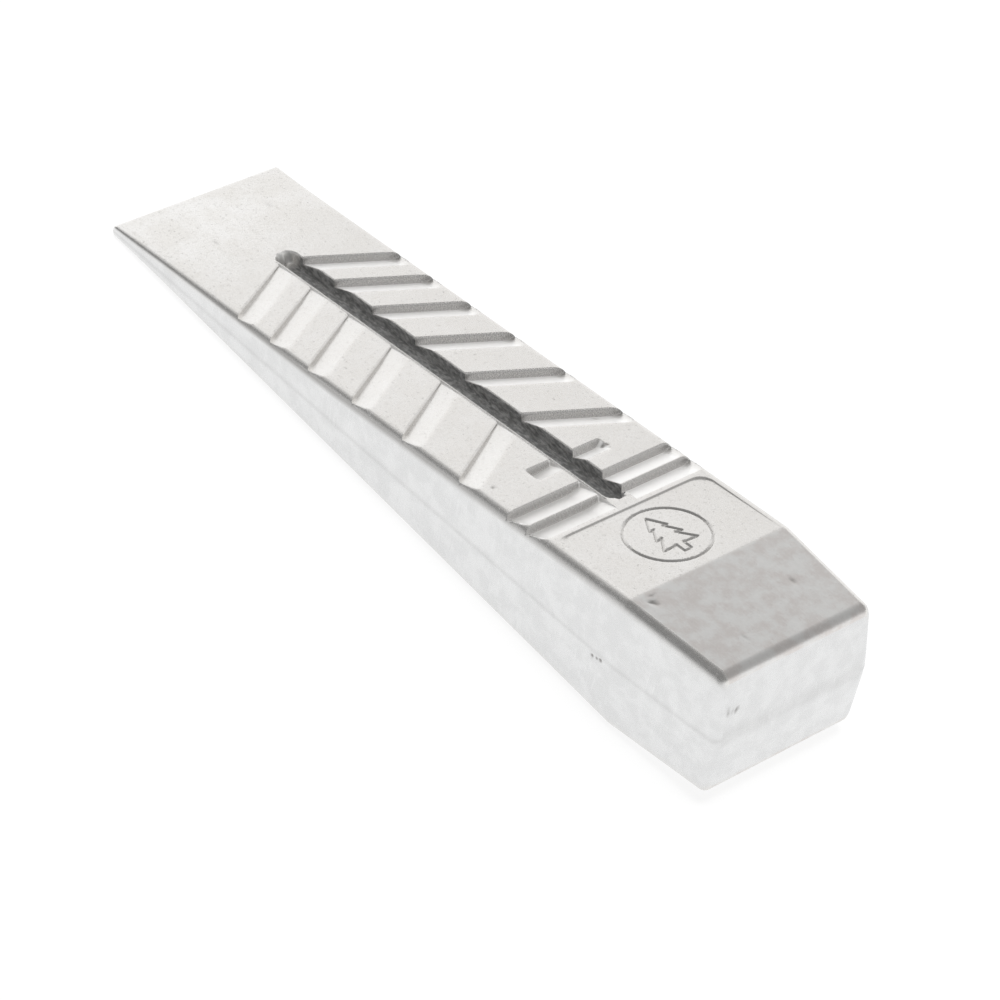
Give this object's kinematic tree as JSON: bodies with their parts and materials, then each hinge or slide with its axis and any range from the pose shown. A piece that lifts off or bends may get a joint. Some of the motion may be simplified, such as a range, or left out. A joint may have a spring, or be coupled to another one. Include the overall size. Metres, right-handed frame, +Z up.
{
  "type": "felling wedge",
  "caption": "Solid forged aluminium felling wedge with chevron grip barbs, cross grooves and a shallow slot on both tapered faces.",
  "frame": {"origin": "bottom centre of the bounding box: the wedge lies on its lower wedge face at z = 0", "axes": "+X from the thin tip to the struck head, +Y across the width, +Z up from the face it lies on"},
  "size_m": [0.2214, 0.05, 0.0372],
  "materials": {
    "forged_aluminium": "satin forged and tumbled aluminium, slightly mottled, darker in the slot"
  },
  "bodies": {
    "root": {"wedge_body": "forged_aluminium"}
  },
  "joints": []
}
